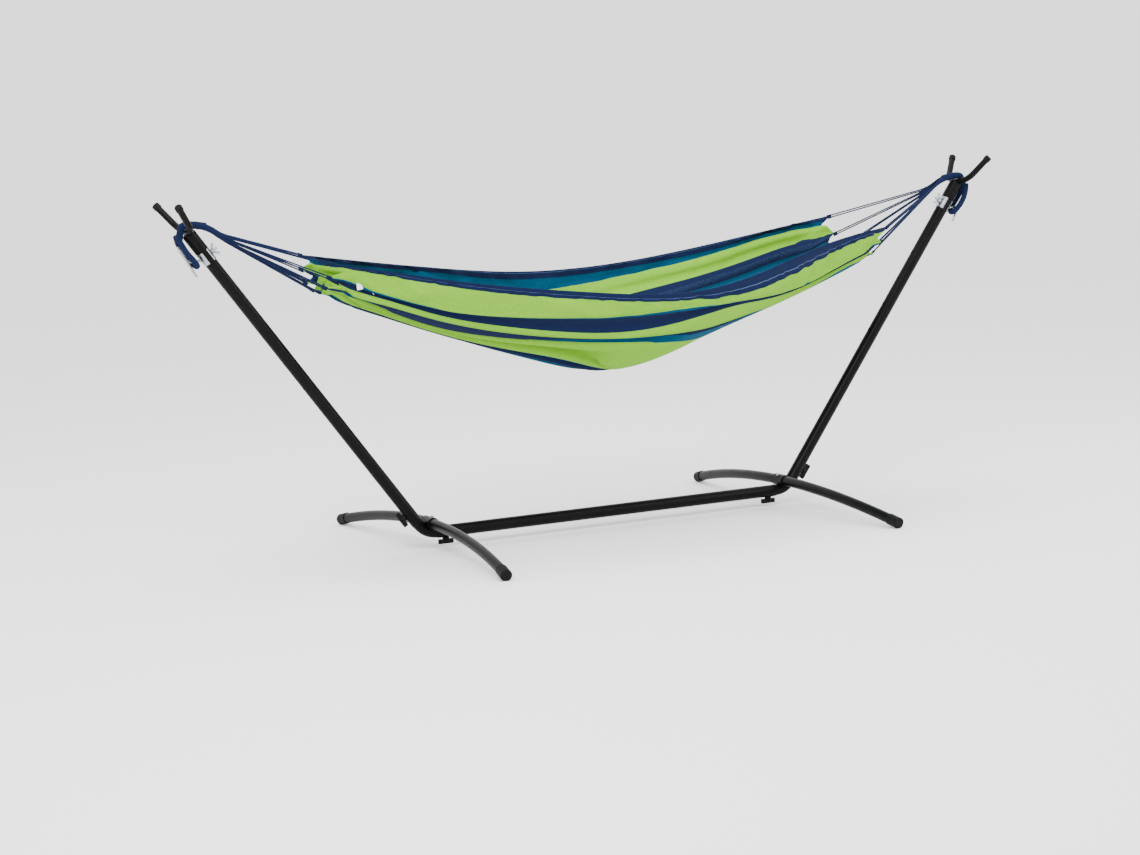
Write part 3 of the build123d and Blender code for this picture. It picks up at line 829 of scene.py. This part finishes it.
def cloth_points():
    """The hung cloth as a grid of points, and the flat place of each."""
    along = np.linspace(0, FLAT_LENGTH, CLOTH_ROWS + 1)
    across = np.linspace(0, FLAT_WIDTH, CLOTH_COLUMNS + 1)
    step = across[1] - across[0]
    share = along / FLAT_LENGTH
    stations = np.array(CLOTH_STATIONS)
    x = stations[0, 0] + (stations[-1, 0] - stations[0, 0]) * share
    rows = np.column_stack([x] + [smooth_through(stations[:, 0], stations[:, k], x) for k in range(1, 6)])
    folds = softened(np.interp(across, SHARE_FLAT, SHARE_FOLDS), step, FOLD_BLUR)
    loops = np.interp(across, SHARE_FLAT, SHARE_LOOPS)
    places = np.array(list(SHARES))
    maps = [softened(np.interp(across, SHARE_FLAT, row), step, SHARE_BLUR) for row in SHARES.values()]
    maps = np.column_stack([smooth_through(places, column, x) for column in np.array(maps).T])
    shown = eased((across - SHOWN_FROM) / SHOWN_BLEND)
    facing = 1 - eased((across - FACING_TO) / FACING_BLEND)
    under = eased((across - UNDER_FROM) / UNDER_BLEND) * (1 - shown)
    fold_width = 1 / np.gradient(folds, across)

    points = np.zeros((len(along), len(across), 3))
    for i, row in enumerate(rows):
        # how tightly the cloth is gathered at each place, and from that its folds
        side = -1 if share[i] < 0.5 else 1
        from_end = min(share[i], 1 - share[i])
        calm = eased(from_end / CALM_SHARE)
        bound = 1 - eased(from_end / BOUND_SHARE)
        reach = arc_points(row, [0])[2]
        hung = np.maximum.accumulate(maps[i])
        phase = folds * 2 * math.pi + calm * 0.35 * waves(along[i], across, 3)
        hung_step = np.maximum(np.gradient(hung, across) * reach, 0.02)
        taper = np.sqrt(1 - 1 / np.maximum(1 / hung_step, 1.0) ** 2)
        depth = np.minimum(fold_width * taper / FOLD_SLIMNESS, MOST_FOLD_DEPTH)
        depth = depth * (1 + 0.2 * waves(along[i], across, 5))
        depth = depth * (1 - 0.5 * shown - 0.55 * facing) * (1 - bound * np.cos(loops * math.pi) ** 2)
        lean = 0.52 * taper * hung_step * fold_width / (2 * math.pi)
        hung = np.clip(hung - (1 - bound) * (1 - facing) * lean * np.sin(2 * phase) / reach, 0, 1)

        # from the arc to the folded cloth, with the end edges drawn back between the loops
        y, z, _ = arc_points(row, hung)
        y2, z2, _ = arc_points(row, hung + 0.001)
        y1, z1, _ = arc_points(row, hung - 0.001)
        tangent = np.column_stack([y2 - y1, z2 - z1])
        tangent /= np.linalg.norm(tangent, axis=1)[:, None]
        wave = depth * (np.sin(phase) - under) * (1 - 0.1 * under)
        draw_back = SCALLOP * (1 - np.abs(np.cos(loops * math.pi)) ** 1.6)
        draw_back = draw_back * max(0.0, 1 - from_end / DRAWN_SHARE) ** 1.5
        points[i, :, 0] = row[0] + row[5] * y - side * draw_back
        points[i, :, 1] = y + tangent[:, 1] * wave
        points[i, :, 2] = z - tangent[:, 0] * wave
    return points, along, across


def grid_object(name, points):
    """A mesh of one four-sided face between each four neighbours of a grid of points."""
    rows, columns = points.shape[:2]
    corners = (np.arange(rows - 1)[:, None] * columns + np.arange(columns - 1)[None, :]).ravel()
    faces = np.column_stack([corners, corners + 1, corners + columns + 1, corners + columns])
    return mesh_object(name, points.reshape(-1, 3), faces.tolist())


def settled(points):
    """The grid of points after a short cloth simulation, held along its four edges and lightly elsewhere."""
    cloth = grid_object("settling", points)
    rows, columns = points.shape[:2]
    held = cloth.vertex_groups.new(name="held")
    grid = np.arange(rows * columns).reshape(rows, columns)
    firm = np.concatenate([grid[0], grid[-1], grid[:, :3].ravel(), grid[:, -3:].ravel()])
    held.add(grid.ravel().tolist(), LIGHT_HOLD, "REPLACE")
    held.add(firm.tolist(), 1.0, "REPLACE")
    settings = cloth.modifiers.new("cloth", "CLOTH").settings
    settings.vertex_group_mass = "held"
    settings.quality = 5
    settings.mass = 0.1
    settings.tension_stiffness = 12
    settings.compression_stiffness = 12
    settings.shear_stiffness = 4
    settings.bending_stiffness = 0.25
    settings.shrink_min = -0.03
    settings.effector_weights.gravity = 0.1
    scene = bpy.context.scene
    for number in range(1, SETTLING_FRAMES + 1):
        scene.frame_set(number)
    shaped = cloth.evaluated_get(bpy.context.evaluated_depsgraph_get()).to_mesh()
    moved = np.array([vertex.co for vertex in shaped.vertices]).reshape(points.shape) - points
    scene.frame_set(1)
    bpy.data.objects.remove(cloth)
    far = np.linalg.norm(moved, axis=2, keepdims=True)
    return points + moved * np.minimum(1, MOST_SETTLED / np.maximum(far, 1e-9))


LABEL_LENGTH = 0.030
LABEL_FALL = 0.022
LABEL_THICKNESS = 0.0005
# The loose thread's route from the label's lower corner
THREAD_ROUTE = [(0, 0, 0), (0.012, -0.003, -0.006), (0.022, -0.002, -0.020), (0.030, -0.001, -0.030)]
THREAD_DIAMETER = 0.0016


def make_label(points):
    """A small blank wash label sewn under the near hem of the left end, with its loose thread."""
    top = points[3:6, 18:21].mean(axis=(0, 1))  # a place a little inside the end edge and the near rim
    corners = []
    for share in np.linspace(0, 1, 9):
        for fall in np.linspace(0, 1, 5):
            corners.append(
                (
                    top[0] + LABEL_LENGTH * share,
                    top[1] - 0.008 - 0.004 * math.sin(3 * share + fall),
                    top[2] + 0.003 - 0.010 * share - LABEL_FALL * fall * (1 - 0.6 * share),
                )
            )
    label = grid_object("wash_label", np.array(corners).reshape(9, 5, 3))
    solid = label.modifiers.new("thickness", "SOLIDIFY")
    solid.thickness = LABEL_THICKNESS
    start = top + np.array((0.028, -0.009, -0.012))
    thread_line = spline_line([tuple(start + np.array(step)) for step in THREAD_ROUTE])
    thread = tube("label_thread", thread_line, 0.002, 6, twisted(THREAD_DIAMETER, 2, 0.006))
    for piece in (label, thread):
        piece.data.materials.append(MATERIALS["label"])
        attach(piece, "hammock")
    return [label, thread]


def make_cloth():
    """The striped cloth with its doubled hems and its label."""
    points, along, across = cloth_points()
    points = settled(points)
    rows, columns = points.shape[:2]
    cloth = grid_object("hammock_cloth", points)
    layer = cloth.data.uv_layers.new(name="flat")
    vertices = np.zeros(len(cloth.data.loops), int)
    cloth.data.loops.foreach_get("vertex_index", vertices)
    flat = np.column_stack([along[vertices // columns], across[vertices % columns]])
    layer.data.foreach_set("uv", flat.ravel().astype(np.float32))
    cloth.data.materials.append(MATERIALS["striped_cotton"])
    label = make_label(points)
    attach(cloth, "hammock")
    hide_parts("hammock_fabric")
    hems = cloth.vertex_groups.new(name="hems")
    grid = np.arange(rows * columns).reshape(rows, columns)
    hem_columns = int(HEM_WIDTH / (across[1] - across[0]))
    doubled = [grid[:2], grid[-2:], grid[:, :hem_columns], grid[:, -hem_columns:]]
    hems.add(grid.ravel().tolist(), 0.0, "REPLACE")
    for strip in doubled:
        hems.add(strip.ravel().tolist(), 1.0, "REPLACE")
    solid = cloth.modifiers.new("thickness", "SOLIDIFY")
    solid.thickness = 2 * CLOTH_THICKNESS
    solid.vertex_group = "hems"
    solid.thickness_vertex_group = 0.5
    solid.offset = 0


MATERIALS = {
    "black_powder_coat": powder_coat(),
    "black_plastic": black_plastic(),
    "zinc_plate": zinc_plate(),
    "striped_cotton": striped_cotton(),
    "cord": cord_material("twisted_cord", STRAND_SHADE_NAVY, NAVY, CORD_LAY, CORD_STRANDS),
    "label": label_material(),
    "floor": floor_material(),
}

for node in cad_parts.values():
    for slot in node.material_slots:
        slot.material = MATERIALS.get(slot.material.name, slot.material)

make_camera()
make_studio()
make_cords()
make_knots()
for word, side in SIDES.items():
    make_bundle(word, side)
    make_rope(word, side)
make_cloth()
